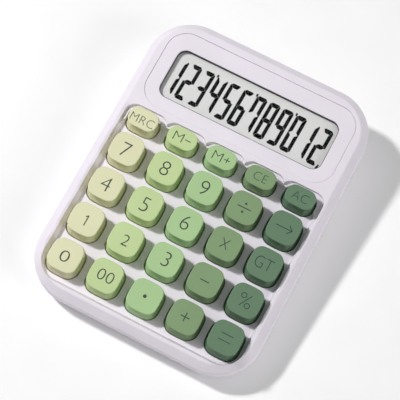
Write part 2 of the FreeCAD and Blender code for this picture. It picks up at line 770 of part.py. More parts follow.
def build():
    """Every piece by name, standing on the table."""
    deck_pieces = {
        "upper_case": upper_case(),
        "display_bezel": display_bezel(),
        "display_window": display_window(),
        "lcd_panel": lcd_panel(),
        "lcd_frame": lcd_frame(),
        "lcd_ribbon": lcd_ribbon(),
        "rubber_keypad": rubber_keypad(),
        "circuit_board": circuit_board(),
        "chip_cover": chip_cover(),
        "board_screws": Part.makeCompound(board_screws()),
        "case_screws": Part.makeCompound(case_screws()),
    }
    full_cap = keycap(False)
    slim_cap = keycap(True)
    for name, slim, x, y in key_places():
        cap = (slim_cap if slim else full_cap).copy()
        cap.translate(Vector(x, y, 0))
        deck_pieces[name] = cap
    pieces = {name: on_table(shape) for name, shape in deck_pieces.items()}
    pieces["lower_case"] = lower_case()
    pieces["battery_door"] = battery_door()
    pieces["battery"] = battery()
    pieces["battery_contact_positive"] = positive_contact()
    pieces["battery_contact_negative"] = negative_contact()
    pieces["battery_lead_positive"] = battery_lead(1)
    pieces["battery_lead_negative"] = battery_lead(-1)
    for name, (x, y) in foot_places():
        pieces[name] = rubber_foot(x, y)
    return pieces


def centred(pieces):
    """Move the whole calculator so that its box is centred over the origin, standing on z = 0."""
    box = Part.makeCompound(list(pieces.values())).optimalBoundingBox(False, False)
    shift = Vector(-(box.XMin + box.XMax) / 2, -(box.YMin + box.YMax) / 2, -box.ZMin)
    for shape in pieces.values():
        shape.translate(shift)
    return shift


def main():
    os.makedirs("parts", exist_ok=True)
    pieces = build()
    shift = centred(pieces)
    print("moved by", [round(v, 4) for v in shift])
    for name, shape in pieces.items():
        shape.exportStep("parts/" + name + ".step")
        box = shape.BoundBox
        print(name, len(shape.Solids), shape.isValid(), round(shape.Volume, 1),
              [round(v, 2) for v in (box.XMin, box.XMax, box.YMin, box.YMax, box.ZMin, box.ZMax)])


main()
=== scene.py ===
# %% [markdown]
# # A pastel desk calculator
# The solids of the calculator are measured and fixed. This lesson dresses them: it rebuilds the moulded
# pieces with soft edges, prints the legends on the keys, fills the display and gives every piece a finish.
# First the solids are loaded.

import bmesh
import bpy
from math import atan2, cos, pi, radians, sin, tan
from mathutils import Matrix, Vector


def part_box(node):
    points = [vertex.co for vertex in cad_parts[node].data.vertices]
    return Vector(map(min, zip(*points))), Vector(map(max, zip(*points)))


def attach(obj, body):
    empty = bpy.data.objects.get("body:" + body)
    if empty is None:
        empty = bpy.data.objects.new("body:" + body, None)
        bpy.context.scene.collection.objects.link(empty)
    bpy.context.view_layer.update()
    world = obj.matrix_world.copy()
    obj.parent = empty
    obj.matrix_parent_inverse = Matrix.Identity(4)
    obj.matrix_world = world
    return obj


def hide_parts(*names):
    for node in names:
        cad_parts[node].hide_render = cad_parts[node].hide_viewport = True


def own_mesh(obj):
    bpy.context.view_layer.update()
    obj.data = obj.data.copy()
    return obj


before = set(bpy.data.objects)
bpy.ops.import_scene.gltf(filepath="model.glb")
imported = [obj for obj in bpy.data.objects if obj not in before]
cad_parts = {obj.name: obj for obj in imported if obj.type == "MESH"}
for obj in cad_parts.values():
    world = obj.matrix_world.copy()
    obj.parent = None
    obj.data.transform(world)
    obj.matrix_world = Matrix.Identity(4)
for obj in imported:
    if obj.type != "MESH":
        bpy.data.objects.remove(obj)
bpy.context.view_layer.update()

# %% [markdown]
# The case is a wedge, so its top, the deck, slopes towards the user. Drawing on a slope is awkward. It is
# easier to draw each piece flat, in millimetres, with z = 0 on the deck, and to lay it on the slope with
# one matrix when it is finished. Only the feet stand level, each laid on a spot of its own.

# %% Lay of the deck
millimetre = 0.001
deck_tilt = radians(5)
deck_middle = Vector((0, -0.000631, 0.023824))
slope = Matrix.Rotation(deck_tilt, 4, "X")
on_deck = Matrix.Translation(deck_middle) @ slope @ Matrix.Scale(millimetre, 4)
print("middle of the deck", [round(part, 5) for part in on_deck.translation])

# %% [markdown]
# The camera looks down steeply, from the front and a little from the right, through a long lens. Its axes
# are worked out in the deck's own directions, because the rows of keys show them best, and then tilted
# along with the deck.

# %% Camera
keys_middle = Vector((0, -29.8, 4.4))
camera_turn, camera_rise = radians(27.74), radians(72.71)
camera_side, camera_lift, camera_distance = 12.2, 19.5, 712

view_right = Vector((cos(camera_turn), sin(camera_turn), 0))
view_back = Vector((view_right.y * cos(camera_rise), -view_right.x * cos(camera_rise), sin(camera_rise)))
view_up = view_back.cross(view_right)
camera_spot = keys_middle + camera_side * view_right + camera_lift * view_up + camera_distance * view_back
view_axes = Matrix((view_right, view_up, view_back)).transposed().to_4x4()
scene = bpy.context.scene
camera = bpy.data.objects.new("camera", bpy.data.cameras.new("camera"))
camera.data.sensor_width = 36
camera.data.lens = 135
camera.matrix_world = Matrix.Translation(on_deck @ camera_spot) @ slope @ view_axes
scene.collection.objects.link(camera)
scene.camera = camera
print("camera stands at", [round(part, 4) for part in camera.matrix_world.translation])

# %% [markdown]
# The light is that of a plain studio. A small lamp on the left stands high enough that the shadow of a key
# just reaches its neighbour, a wide low lamp on the right fills the sides that face away from it, and a pale
# surround fills the rest. The surround is a little brighter near the horizon than overhead, as under a
# ceiling. Together they give about the light at which a colour renders as it is written. To the camera and
# in reflections the surround shows as white.

# %% Studio light
scene.view_settings.view_transform = "Standard"
horizon_light, overhead_light = 0.22, 0.16
lamp_distance = 1.2


def add_lamp(name, turn, rise, width, power):
    """Round lamp that faces the calculator. The turn counts from the right towards the back."""
    lamp = bpy.data.objects.new(name, bpy.data.lights.new(name, "AREA"))
    lamp.data.energy = power
    lamp.data.shape = "DISK"
    lamp.data.size = width
    way = Vector((cos(turn) * cos(rise), sin(turn) * cos(rise), sin(rise)))
    facing = way.to_track_quat("Z", "Y").to_matrix().to_4x4()
    lamp.matrix_world = Matrix.Translation(lamp_distance * way) @ facing
    scene.collection.objects.link(lamp)


def seen_rays(nodes, links):
    """1 on rays from the camera and on those that gloss or glass sends on, and 0 on the rest."""
    ray = nodes.new("ShaderNodeLightPath")
    seen = ray.outputs["Is Camera Ray"]
    for kind in ("Is Glossy Ray", "Is Transmission Ray"):
        either = nodes.new("ShaderNodeMath")
        either.operation = "MAXIMUM"
        links.new(seen, either.inputs[0])
        links.new(ray.outputs[kind], either.inputs[1])
        seen = either.outputs[0]
    return seen


add_lamp("key_lamp", turn=radians(180), rise=radians(50), width=0.12, power=10.4)
add_lamp("fill_lamp", turn=radians(-5), rise=radians(27), width=0.7, power=5.4)

scene.world = bpy.data.worlds.new("surround")
scene.world.use_nodes = True
sky = scene.world.node_tree
way = sky.nodes.new("ShaderNodeTexCoord")
height = sky.nodes.new("ShaderNodeSeparateXYZ")
sky.links.new(way.outputs["Generated"], height.inputs[0])
fill = sky.nodes.new("ShaderNodeMapRange")
fill.inputs["To Min"].default_value = horizon_light
fill.inputs["To Max"].default_value = overhead_light
sky.links.new(height.outputs["Z"], fill.inputs["Value"])
level = sky.nodes.new("ShaderNodeMapRange")
level.inputs["To Max"].default_value = 1
sky.links.new(fill.outputs[0], level.inputs["To Min"])
sky.links.new(seen_rays(sky.nodes, sky.links), level.inputs["Value"])
sky.nodes["Background"].inputs["Color"].default_value = (1, 1, 1, 1)
sky.links.new(level.outputs[0], sky.nodes["Background"].inputs["Strength"])
print("lamps", len(bpy.data.lights), "surround", horizon_light, "to", overhead_light)

# %% [markdown]
# Screen colours run from 0 to 255 and aren't linear, while a shader wants linear light. One small function
# turns the first into the second, so that colours can be written as they look. A second one makes a colour
# darker or lighter, for the small changes of tone that a real finish has.

# %% Colours
brightest, screen_gamma = 255, 2.2


def paint(red, green, blue):
    """Linear colour of a colour as a screen shows it."""
    return tuple((part / brightest) ** screen_gamma for part in (red, green, blue)) + (1,)


def shade(colour, share):
    """A colour made darker or lighter by a share."""
    return tuple(min(1, part * share) for part in colour[:3]) + (1,)


print("middle grey", [round(part, 3) for part in paint(128, 128, 128)])

# %% [markdown]
# A finish is a small graph of nodes, and most finishes here need the same few parts: a noise, a ramp that
# turns it into colours, a range for the gloss, and a bump. Each part gets a short function, so that a finish
# can be read like a recipe.

# %% Parts of a finish
def new_material(name):
    """Fresh material, with its nodes, its links and its main shader."""
    material = bpy.data.materials.new(name)
    material.use_nodes = True
    tree = material.node_tree
    return material, tree.nodes, tree.links, tree.nodes["Principled BSDF"]


def noise(nodes, links, scale, detail=2, stretch=(1, 1, 1)):
    """Noise on the piece's own coordinates, which may be stretched. Gives back its value socket."""
    place = nodes.new("ShaderNodeTexCoord")
    turn = nodes.new("ShaderNodeMapping")
    turn.inputs["Scale"].default_value = stretch
    links.new(place.outputs["Object"], turn.inputs["Vector"])
    cloud = nodes.new("ShaderNodeTexNoise")
    cloud.inputs["Scale"].default_value = scale
    cloud.inputs["Detail"].default_value = detail
    links.new(turn.outputs["Vector"], cloud.inputs["Vector"])
    return cloud.outputs["Fac"]


def ramp(nodes, links, source, stops, hard=False):
    """Colours at places between 0 and 1, either blended or in hard bands. Gives back its colour socket."""
    tone = nodes.new("ShaderNodeValToRGB")
    tone.color_ramp.interpolation = "CONSTANT" if hard else "LINEAR"
    band = tone.color_ramp.elements
    while len(band) < len(stops):
        band.new(0.5)
    for element, (place, colour) in zip(band, stops):
        element.position = place
        element.color = colour
    links.new(source, tone.inputs["Fac"])
    return tone.outputs["Color"]


def spread(nodes, links, source, low, high):
    """A value from 0 to 1 brought into a range."""
    scale = nodes.new("ShaderNodeMapRange")
    scale.inputs["To Min"].default_value = low
    scale.inputs["To Max"].default_value = high
    links.new(source, scale.inputs["Value"])
    return scale.outputs["Result"]


def relief(nodes, links, shader, source, strength, depth=0.0001):
    """Bump on a shader, from a noise."""
    bump = nodes.new("ShaderNodeBump")
    bump.inputs["Strength"].default_value = strength
    bump.inputs["Distance"].default_value = depth
    links.new(source, bump.inputs["Height"])
    links.new(bump.outputs["Normal"], shader.inputs["Normal"])


print("parts", [part.__name__ for part in (new_material, noise, ramp, spread, relief)])

# %% [markdown]
# The calculator lies on white paper. Paper that only reflects the lamps looks grey, so it gets a faint glow,
# on the rays that show it and not on those that light the object. It keeps the shadow of the calculator. The
# floor is stage and not a piece of the calculator.

# %% Floor
floor_glow, floor_reach = 0.1, 4


def floor_paper():
    """White paper with a faint glow where it is seen."""
    material, nodes, links, shader = new_material("floor_paper")
    fibres = noise(nodes, links, 40)
    links.new(ramp(nodes, links, fibres, [(0.3, (0.93, 0.93, 0.93, 1)), (0.7, (0.96, 0.96, 0.96, 1))]),
              shader.inputs["Base Color"])
    shader.inputs["Roughness"].default_value = 0.9
    shader.inputs["Specular IOR Level"].default_value = 0
    shader.inputs["Emission Color"].default_value = (1, 1, 1, 1)
    links.new(spread(nodes, links, seen_rays(nodes, links), 0, floor_glow),
              shader.inputs["Emission Strength"])
    return material


floor_shape = bmesh.new()
bmesh.ops.create_grid(floor_shape, x_segments=1, y_segments=1, size=floor_reach)
floor_mesh = bpy.data.meshes.new("floor")
floor_shape.to_mesh(floor_mesh)
floor_shape.free()
floor = bpy.data.objects.new("floor", floor_mesh)
floor.data.materials.append(floor_paper())
scene.collection.objects.link(floor)
print("floor", floor.dimensions[:])

# %% [markdown]
# Nearly every moulded piece here is a rounded rectangle that grows, shrinks and rises: the case, the well,
# the keys, the display plate. Such a shape could be a subdivided cube, but then its corner radius is never
# exact. Here a rectangle gets its corner points bevelled, which gives true arcs, and a pile of such plates
# is joined into a solid by bridging each outline to the next.

# %% Plates and stacks
def rounded_plate(bm, width, depth, radius, z, x=0, y=0, steps=8):
    """Flat face with round corners."""
    place = Matrix.Translation((x, y, z)) @ Matrix.Diagonal((width, depth, 1, 1))
    corners = bmesh.ops.create_grid(bm, x_segments=1, y_segments=1, size=0.5, matrix=place)["verts"]
    bent = bmesh.ops.bevel(bm, geom=corners, offset=radius, offset_type="OFFSET", affect="VERTICES",
                           segments=steps, profile=0.5, material=-1)
    return bent["verts"][0].link_faces[0]


def stack(bm, plates):
    """Join plates that lie over each other into one closed solid."""
    for lower, upper in zip(plates, plates[1:]):
        bmesh.ops.bridge_loops(bm, edges=lower.edges[:] + upper.edges[:])
    bmesh.ops.delete(bm, geom=plates[1:-1], context="FACES_ONLY")
    bmesh.ops.recalc_face_normals(bm, faces=bm.faces[:])


def solid(levels, x=0, y=0, steps=8):
    """New shape from levels, each of them (width, depth, corner radius, height)."""
    bm = bmesh.new()
    stack(bm, [rounded_plate(bm, *size, x, y, steps) for size in levels])
    return bm


def grown(width, depth, radius, margins, x=0, y=0, steps=8):
    """New shape from one outline that is grown by a margin at each height."""
    return solid([(width + 2 * margin, depth + 2 * margin, radius + margin, z) for margin, z in margins],
                 x, y, steps)


trial = solid([(4, 3, 1, 0), (3, 2, 0.5, 1)])
print("trial block", len(trial.verts), "points, volume", round(trial.calc_volume(), 3))
trial.free()

# %% [markdown]
# A moulded edge is never sharp: outward edges are rounded so that the tool can be polished, inward ones so
# that the plastic flows. Rounding edges after they have been cut is fragile where cuts meet. It is safer
# to round the cutting shape itself, so this function gives the margins of a cutter from its floor up past
# the surface, with a round foot and a round lip, whatever the lean of the wall.

# %% Soft edges
def soft_wall(floor_z, top_z, lean, foot, lip, past=1, steps=4):
    """Margins and heights of a cutter whose wall leans out from its floor to the surface."""
    slant = atan2(lean, top_z - floor_z)
    short = (1 - sin(slant)) * tan(slant) - cos(slant)
    levels = []
    for step in range(steps + 1) if foot else [steps]:
        turn = (pi / 2 - slant) * step / steps
        levels.append((-lean + foot * (short + sin(turn)), floor_z + foot * (1 - cos(turn))))
    for step in range(steps + 1):
        turn = slant + (pi / 2 - slant) * step / steps
        levels.append((-lip * (short + cos(turn)), top_z - lip * (1 - sin(turn))))
    return levels + [(levels[-1][0], top_z + past)]


def soft_top(rise, edge, steps=4):
    """Margins and heights of an outward edge that rolls over onto a top."""
    turns = [pi / 2 * step / steps for step in range(steps + 1)]
    return [(edge * (cos(turn) - 1), rise - edge + edge * sin(turn)) for turn in turns]


def round_edges(bm, edges, width, steps=3):
    bmesh.ops.bevel(bm, geom=edges, offset=width, offset_type="OFFSET", affect="EDGES", segments=steps,
                    profile=0.5, material=-1)


print("wall", [(round(margin, 2), round(z, 2)) for margin, z in soft_wall(-4, 0, 1.4, 0.5, 0.5)])

# %% [markdown]
# Pockets and holes are cut with the exact Boolean modifier, as a toolmaker sinks a cavity, and the result
# is read back into a bmesh. A finished shape is then laid in its place, shaded smooth with sharp edges
# kept, painted, and told which body of the calculator it rides on.

# %% Carving and finishing
def carve(bm, tool, operation="DIFFERENCE"):
    """Cut a tool out of a shape, or join it on, and hand back the new shape."""
    pair = []
    for shape in (bm, tool):
        mesh = bpy.data.meshes.new("carving")
        shape.to_mesh(mesh)
        shape.free()
        pair.append(bpy.data.objects.new("carving", mesh))
        scene.collection.objects.link(pair[-1])
    block, knife = pair
    cut = block.modifiers.new("cut", "BOOLEAN")
    cut.operation = operation
    cut.object = knife
    cut.solver = "EXACT"
    result = bmesh.new()
    result.from_object(block, bpy.context.evaluated_depsgraph_get())
    for thing in pair:
        mesh = thing.data
        bpy.data.objects.remove(thing)
        bpy.data.meshes.remove(mesh)
    return result


def finished(bm, name, body, material, stands_for=(), lay=on_deck, crease=radians(35)):
    """Turn a shape into a piece of the calculator."""
    bmesh.ops.transform(bm, matrix=lay, verts=bm.verts)
    mesh = bpy.data.meshes.new(name)
    bm.to_mesh(mesh)
    bm.free()
    mesh.shade_smooth()
    mesh.set_sharp_from_angle(angle=crease)
    mesh.materials.append(material)
    piece = bpy.data.objects.new(name, mesh)
    scene.collection.objects.link(piece)
    even = piece.modifiers.new("even shading", "WEIGHTED_NORMAL")
    even.keep_sharp = True
    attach(piece, body)
    if stands_for:
        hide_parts(*stands_for)
    return piece


trial = carve(solid([(4, 4, 0.5, z) for z in (0, 2)]), solid([(2, 2, 0.5, z) for z in (-1, 3)]))
print("trial frame", len(trial.faces), "faces, volume", round(trial.calc_volume(), 2))
trial.free()

# %% [markdown]
# Moulded plastic is never one flat colour. Its pigment is a little cloudy, its surface has the fine grain
# of the eroded mould, and the grain makes the gloss uneven. Noises on the object's own coordinates give
# these: a wide one for the pigment, and a fine one for both the bump and the gloss.

# %% Moulded plastic
def moulded(name, colour, roughness=0.5, grain=3500, rough_grain=0.06, cloud=0.025):
    material, nodes, links, shader = new_material(name)
    pigment = noise(nodes, links, 55, 3)
    tones = [(0.3, shade(colour, 1 - cloud)), (0.7, shade(colour, 1 + cloud))]
    links.new(ramp(nodes, links, pigment, tones), shader.inputs["Base Color"])
    sparks = noise(nodes, links, grain)
    links.new(spread(nodes, links, sparks, roughness - 0.08, roughness + 0.08), shader.inputs["Roughness"])
    relief(nodes, links, shader, sparks, rough_grain)
    return material


case_colour = paint(236, 229, 239)
case_plastic = moulded("case_plastic", case_colour)
print("case plastic", [round(part, 3) for part in case_colour])

# %% [markdown]
# The upper half of the case is the show piece. It starts as a rounded slab with a broad bevel all round.
# From above come the key well, which is a tray with leaning walls and an arch behind each slim key, the
# holes for the keys and the seat of the display plate. From below come the hollow of the shell and the
# room for the display.

# %% Sizes of the case
case_width, case_length, case_corner = 119, 156.6, 23
bevel_width, bevel_drop, bevel_softness = 4, 3.6, 0.5
joint_height, case_wall = -10.4, 2
well_floor, well_lean, well_corner, rim_width = -4, 1.4, 11, 5.8
panel_underside = -5.8
arch_floor, arch_width, arch_depth, arch_corner, arch_cusp = -1.7, 22.6, 28, 5.5, 3.4
plate_y, plate_width, plate_depth, plate_corner = 49.05, 103.4, 42.9, 11
plate_top, plate_underside, shelf_underside = -0.4, -2.4, -4.2
window_y, window_width, window_depth, window_corner = 47.9, 89, 27.4, 5
glass_width, glass_depth, glass_underside, glass_top = 95.4, 35.4, -5.2, -2.75
column_pitch, row_pitch, slim_row_pitch, front_row_y = 21.4, 20.1, 17.3, -59.95
column_x = [column_pitch * (column - 2) for column in range(5)]
row_y = [front_row_y + row_pitch * row for row in range(4)]
slim_row_y = row_y[-1] + slim_row_pitch
behind_keys = 7.2
arch_crown = slim_row_y + behind_keys
print("rows at", [round(y, 2) for y in row_y], "slim row at", round(slim_row_y, 2))

# %% [markdown]
# A full key isn't quite square: its sides swell outwards, so its top looks like a cushion. The outline is a
# rounded square whose sides are divided and then pulled in, most at the corners and not at all at the middle
# of each side. The slim keys of the back row are plain rounded rectangles. The keys and the holes in the
# case share this outline.

# %% The outline of a key
key_size, key_corner, key_bow = 15.5, 3.4, 44
slim_width, slim_depth, slim_corner = 14.9, 9.9, 4.2
hole_margin = 1.3


def key_plate(bm, slim, margin, z, x=0, y=0):
    """Outline of a key, grown by a margin."""
    if slim:
        return rounded_plate(bm, slim_width + 2 * margin, slim_depth + 2 * margin, slim_corner + margin,
                             z, x, y)
    size = key_size + 2 * margin
    face = rounded_plate(bm, size, size, key_corner + margin, z)
    straight_edges = [edge for edge in face.edges if edge.calc_length() > key_corner]
    bmesh.ops.bisect_edges(bm, edges=straight_edges, cuts=5)
    pull = (key_bow + margin) * size
    for point in face.verts:
        across, along = point.co.x, point.co.y
        point.co.x = x + across * (1 - along ** 2 / pull)
        point.co.y = y + along * (1 - across ** 2 / pull)
    return face


key_spots = [(True, x, slim_row_y) for x in column_x]
for y in reversed(row_y):
    key_spots += [(False, x, y) for x in column_x]
print("keys", len(key_spots))

# %% [markdown]
# Each cut of the upper half gets its own small function. The slab's two upper rims are bevelled round. The
# well is one tray, and behind each slim key the rim is scooped out in a shallow arch, so that neighbouring
# arches meet in a cusp. A cutter reaches past the surface that it opens, by the overcut, so that no two
# faces coincide there.

# %% Cutters for the upper half
overcut = 1
well_foot, well_lip = 0.5, 0.45
arch_edge, arch_aside = 0.15, 0.5
hole_rim = 0.15
room_y, room_width, room_depth, room_corner = 50.1, 109, 47.8, 12
seat_foot, seat_lip = 0.1, 0.25
glass_corner, glass_slip, opening_top = 1, 0.3, -1


def case_plates(bm, margins):
    return [rounded_plate(bm, case_width + 2 * margin, case_length + 2 * margin, case_corner + margin, z,
                          steps=20) for margin, z in margins]


def case_slab():
    bm = bmesh.new()
    stack(bm, case_plates(bm, [(0, joint_height), (0, -bevel_drop), (-bevel_width, 0)]))
    rims = [edge for edge in bm.edges if edge.verts[0].co.z == edge.verts[1].co.z > joint_height]
    round_edges(bm, rims, bevel_softness, steps=4)
    return bm


def shell_room():
    """The hollow inside the shell, up to the underside of the well."""
    bm = bmesh.new()
    stack(bm, case_plates(bm, [(-case_wall, joint_height - overcut), (-case_wall, panel_underside)]))
    return bm


def well_cutters():
    """The tray of the well and the arch behind each slim key."""
    front = rim_width - case_length / 2
    back = arch_crown - arch_cusp
    tray = grown(case_width - 2 * rim_width, back - front, well_corner,
                 soft_wall(well_floor, 0, well_lean, well_foot, well_lip), y=(front + back) / 2, steps=12)
    arch_wall = soft_wall(arch_floor, 0, arch_edge, arch_edge, arch_edge)
    arch_y = arch_crown - arch_depth / 2
    return [tray] + [grown(arch_width, arch_depth, arch_corner, arch_wall, x + arch_aside, arch_y, steps=12)
                     for x in column_x]


def key_hole_cutter():
    bm = bmesh.new()
    margins = [(0, panel_underside - overcut), (0, well_floor - hole_rim), (hole_rim, well_floor),
               (hole_rim, overcut)]
    for slim, x, y in key_spots:
        stack(bm, [key_plate(bm, slim, hole_margin + grow, z, x, y) for grow, z in margins])
    return bm


def display_cutters():
    """The room for the display from below, the seat of its plate from above, and the opening between."""
    room_levels = (panel_underside - overcut, shelf_underside)
    room = solid([(room_width, room_depth, room_corner, z) for z in room_levels], y=room_y)
    seat = grown(plate_width, plate_depth, plate_corner,
                 soft_wall(plate_underside, 0, 0, seat_foot, seat_lip), y=plate_y, steps=12)
    opening_levels = (shelf_underside - overcut, opening_top)
    opening = solid([(glass_width + glass_slip, glass_depth + glass_slip, glass_corner, z)
                     for z in opening_levels], y=window_y)
    return [room, seat, opening]


trial = case_slab()
print("slab", len(trial.faces), "faces, volume before cutting", round(trial.calc_volume()), "mm3")
trial.free()

# %% [markdown]
# Under the deck stand posts: four that take the case screws, six that take the board's screws, and four thin
# stakes that hold the display's tray. They are joined on after the hollow is cut, and pilot holes are then
# drilled into them.

# %% Posts under the deck
between_columns = 1.5 * column_pitch
front_screw_y, back_screw_x, back_screw_y = -73, 38, 72.2
stake_x, stake_reach = 50.6, 13
case_post, board_post, stake_radius = 3.2, 2.5, 1
board_top, stake_end, post_root = -11.2, -7.4, 0.5
case_pilot, case_pilot_end, board_pilot, pilot_roof = 1.4, -6.6, 1.1, 0.1
sides = (-1, 1)
case_screw_spots = [(side * between_columns, front_screw_y) for side in sides]
case_screw_spots += [(side * back_screw_x, back_screw_y) for side in sides]
board_screw_spots = [(side * between_columns, (front + back) / 2) for side in sides
                     for front, back in zip(row_y, row_y[1:])]
stake_spots = [(side * stake_x, window_y + end * stake_reach) for side in sides for end in sides]


def add_posts(bm, spots, radius, low, high):
    for x, y in spots:
        bmesh.ops.create_cone(bm, cap_ends=True, segments=24, radius1=radius, radius2=radius,
                              depth=high - low,
                              matrix=Matrix.Translation((x, y, (low + high) / 2)))


def deck_posts():
    bm = bmesh.new()
    add_posts(bm, case_screw_spots, case_post, joint_height, shelf_underside)
    add_posts(bm, board_screw_spots, board_post, board_top, panel_underside + post_root)
    add_posts(bm, stake_spots, stake_radius, stake_end, shelf_underside + post_root)
    return bm


def pilot_holes():
    bm = bmesh.new()
    add_posts(bm, case_screw_spots, case_pilot, joint_height - overcut, case_pilot_end)
    add_posts(bm, board_screw_spots, board_pilot, board_top - overcut, panel_underside - pilot_roof)
    return bm


print("posts", len(case_screw_spots + board_screw_spots + stake_spots))

# %% [markdown]
# Now the cutting itself, in the order of a toolmaker: hollow the slab, stand the posts in it, then sink the
# display, the well and the key holes from the top and drill the pilot holes from below.

# %% Carve the upper half
upper_case = carve(case_slab(), shell_room())
cutters = display_cutters()
upper_case = carve(upper_case, cutters[0])
upper_case = carve(upper_case, deck_posts(), "UNION")
for cutter in cutters[1:] + well_cutters() + [key_hole_cutter(), pilot_holes()]:
    upper_case = carve(upper_case, cutter)
print("upper half", len(upper_case.verts), "points, volume", round(upper_case.calc_volume()), "mm3")
finished(upper_case, "case_top", "case", case_plastic, ["upper_case"])

# %% [markdown]
# The display plate is a separate moulding that sits a little below the deck. Its window is cut through it
# with a rolled edge.

# %% Display plate
plate_slip, plate_edge, window_lip = 0.06, 0.25, 0.35
plate_wall = [(0, plate_underside)] + soft_top(plate_top, plate_edge)
display_plate = grown(plate_width, plate_depth, plate_corner,
                      [(margin - plate_slip, z) for margin, z in plate_wall], y=plate_y, steps=12)
window_wall = soft_wall(plate_underside - overcut, plate_top, 0, 0, window_lip)
window_cutter = grown(window_width, window_depth, window_corner, window_wall, y=window_y, steps=10)
finished(carve(display_plate, window_cutter), "display_plate", "case", case_plastic,
         ["display_bezel"])
print("display plate", plate_width, "by", plate_depth, "mm")

# %% [markdown]
# A thin dark ring lines the window. Its colour is partly a dark liner and partly painted shade, for the dark
# gap and the shadowed wall round the window. It is a ring: the window's outline, with a smaller one cut out
# of it.

# %% Window liner and painted shade
dark_ring_width, dark_ring_drop, dark_ring_edge = 0.22, 0.3, 0.1


# The dark colour is partly a dark liner and partly painted shade, for the gap and the shadowed wall of the
# window.
def dark_liner_and_painted_shade():
    material, nodes, links, shader = new_material("dark_liner_and_painted_shade")
    dust = noise(nodes, links, 900, 3)
    links.new(ramp(nodes, links, dust, [(0.3, paint(44, 42, 45)), (0.7, paint(58, 56, 58))]),
              shader.inputs["Base Color"])
    links.new(spread(nodes, links, dust, 0.6, 0.8), shader.inputs["Roughness"])
    return material


dark_ring = grown(window_width, window_depth, window_corner,
               [(0, plate_underside)] + soft_top(plate_top - dark_ring_drop, dark_ring_edge),
               y=window_y, steps=10)
opening = grown(window_width, window_depth, window_corner,
                [(-dark_ring_width, plate_underside - overcut), (-dark_ring_width, plate_top)],
                y=window_y, steps=10)
finished(carve(dark_ring, opening), "window_liner_and_painted_shade", "case", dark_liner_and_painted_shade())
print("dark_ring", dark_ring_width, "mm wide round a window of", window_width, "by", window_depth, "mm")

# %% [markdown]
# A keycap is a pile of its own outline: a flange that stops it under the case, a straight skirt in the
# hole, hollow sides that sweep up to a crisp edge, and a flat top. The mould leaves it hollow underneath,
# with a post in the middle that presses the rubber dome.

# %% Keycaps
key_rise, key_edge = 4.4, 0.5
flare, flare_steps = 0.65, 10
waist, waist_height, sweep_power = 0.9, 1.8, 1.3
top_aside, top_wider, base_ahead = 0.4, 0.15, 0.25
flange_margin, flange_top, flange_underside = 2.0, -6.6, -7.2
key_wall, key_roof, post_size, post_inset = 1.7, 2, 5, 0.1
key_colours = {"key_cream": paint(221, 221, 181), "key_lime": paint(191, 212, 152),
               "key_mint": paint(166, 199, 143), "key_sage": paint(123, 150, 108),
               "key_fern": paint(91, 120, 93)}
key_plastics = {name: moulded(name, colour) for name, colour in key_colours.items()}


def key_levels():
    """Margin, height, step aside and step ahead of each level of a key, from its flange to its top."""
    levels = [(flange_margin, flange_underside, 0, 0), (flange_margin, flange_top, 0, 0),
              (flare, flange_top, 0, base_ahead)]
    for step in range(flare_steps + 1):
        low = 1 - step / flare_steps
        height = waist_height + (well_floor - waist_height) * low
        spread_out = low ** sweep_power
        levels.append(((flare + waist) * spread_out - waist, height, top_aside * (1 - low),
                       base_ahead * spread_out))
    edge = soft_top(key_rise, key_edge, steps=5)
    return levels + [(margin + top_wider, z, top_aside, 0) for margin, z in edge]


def push(bm, face, depth):
    """Push a face straight up or down. Its sides follow."""
    pushed = bmesh.ops.extrude_discrete_faces(bm, faces=[face])["faces"][0]
    bmesh.ops.translate(bm, verts=pushed.verts, vec=(0, 0, depth))
    return pushed


def keycap(slim, x, y):
    bm = bmesh.new()
    plates = [key_plate(bm, slim, margin, z, x + aside, y - ahead)
              for margin, z, aside, ahead in key_levels()]
    stack(bm, plates)
    underside = plates[0]
    bmesh.ops.inset_region(bm, faces=[underside], thickness=flange_margin + key_wall, use_even_offset=True)
    height = key_rise - key_roof - flange_underside
    roof = push(bm, underside, height)
    bmesh.ops.inset_region(bm, faces=[roof], thickness=post_inset, use_even_offset=True)
    width, depth = (slim_width, slim_depth) if slim else (key_size, key_size)
    room = 2 * key_wall + 2 * post_inset
    bmesh.ops.scale(bm, verts=roof.verts, space=Matrix.Translation((-x, -y, 0)),
                    vec=(post_size / (width - room), post_size / (depth - room), 1))
    push(bm, roof, -height)
    return bm


key_names = ["mrc", "m_minus", "m_plus", "ce", "ac", "7", "8", "9", "divide", "shift",
             "4", "5", "6", "times", "gt", "1", "2", "3", "minus", "percent",
             "0", "00", "point", "plus", "equals"]
for index, (name, (slim, x, y)) in enumerate(zip(key_names, key_spots)):
    slot = list(key_colours)[index % len(column_x)]
    finished(keycap(slim, x, y), "cap_" + name, "key_" + name, key_plastics[slot], ["key_" + name])
print("keycaps", len(key_names))

# %% [markdown]
# The legends are printed on the key tops as a film of ink. Letters and numbers come from the program's own
# plain font. A negative offset thins them, because the print on such keys is fine. The signs are put
# together from bars, dots and rings. All of them are drawn flat and then given the thickness of the film.

# %% Strokes of ink
film = 0.03


def bar(bm, length, width, x=0, y=0, turn=0):
    """Straight stroke with its middle on a spot."""
    spot = Matrix.Translation((x, y, 0)) @ Matrix.Rotation(turn, 4, "Z")
    bmesh.ops.create_grid(bm, x_segments=1, y_segments=1, size=0.5,
                          matrix=spot @ Matrix.Diagonal((length, width, 1, 1)))


def dot(bm, diameter, x=0, y=0):
    bmesh.ops.create_circle(bm, cap_ends=True, segments=24, radius=diameter / 2,
                            matrix=Matrix.Translation((x, y, 0)))


def ring(bm, width, depth, stroke, x=0, y=0):
    """Oval outline of even stroke."""
    rims = []
    for less in (0, stroke):
        place = Matrix.Translation((x, y, 0)) @ Matrix.Diagonal((width - 2 * less, depth - 2 * less, 1, 1))
        points = bmesh.ops.create_circle(bm, segments=24, radius=0.5, matrix=place)["verts"]
        rims += {edge for point in points for edge in point.link_edges}
    bmesh.ops.bridge_loops(bm, edges=rims)


